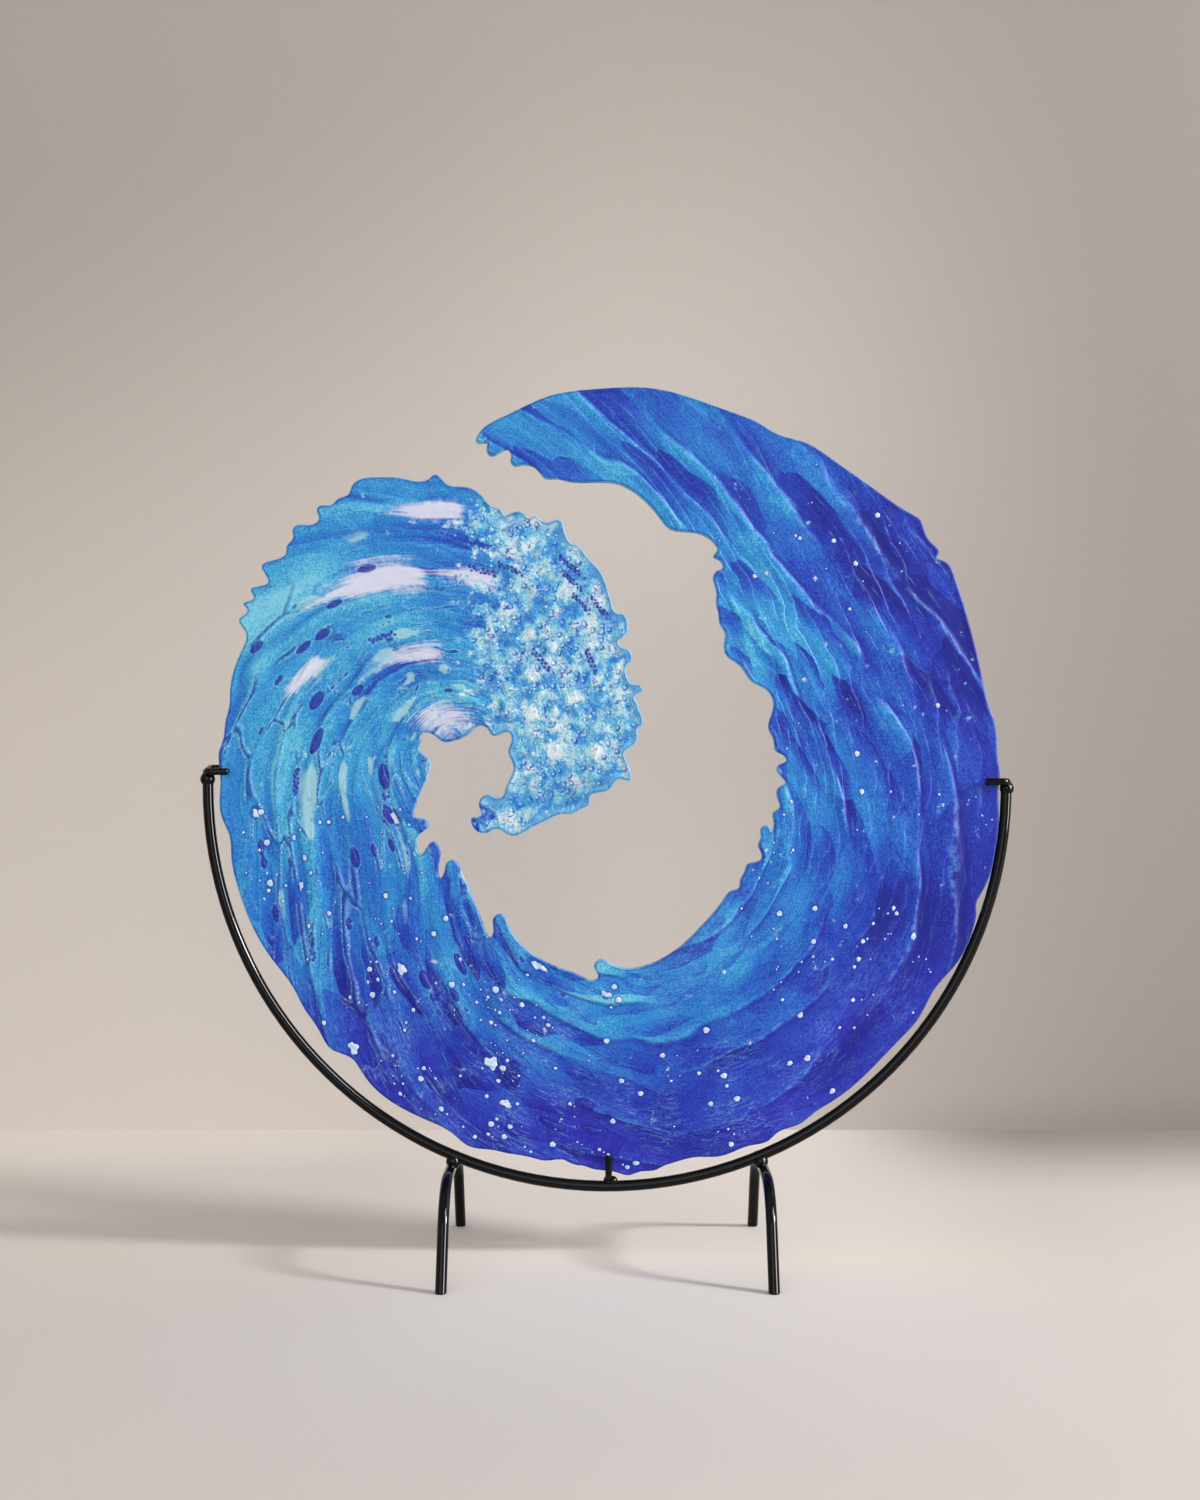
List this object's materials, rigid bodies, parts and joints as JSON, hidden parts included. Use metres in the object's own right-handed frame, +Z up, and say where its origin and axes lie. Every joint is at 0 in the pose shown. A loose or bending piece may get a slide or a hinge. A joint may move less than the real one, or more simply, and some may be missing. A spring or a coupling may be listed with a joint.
{
  "type": "glass wave sculpture",
  "caption": "Upright wave-shaped plate of fused glass, held at its edge by small forks on an open hoop of steel bar that stands on arched legs; the glass lifts out upwards.",
  "frame": {"origin": "on the floor, under the middle of the cradle", "axes": "+Z up, front towards -Y, +X to the right as seen from the front"},
  "size_m": [0.473, 0.1534, 0.5058],
  "materials": {
    "wave_glass": "satin kiln-fused glass, nearly opaque, in blues with white foam",
    "black_coat": "satin black powder coat on steel bar"
  },
  "bodies": {
    "stand": {"cradle_hoop": "black_coat", "left_leg_arch": "black_coat", "right_leg_arch": "black_coat", "left_fork": "black_coat", "right_fork": "black_coat", "bottom_fork": "black_coat", "left_fork_weld": "black_coat", "right_fork_weld": "black_coat", "bottom_fork_weld": "black_coat", "left_leg_weld": "black_coat", "right_leg_weld": "black_coat"},
    "panel": {"glass_wave_panel": "wave_glass"}
  },
  "joints": [
    {"name": "panel_lift", "type": "slide", "parent": "stand", "child": "panel", "axis": [0, 0, 1], "range_m": [0, 0.1]}
  ]
}
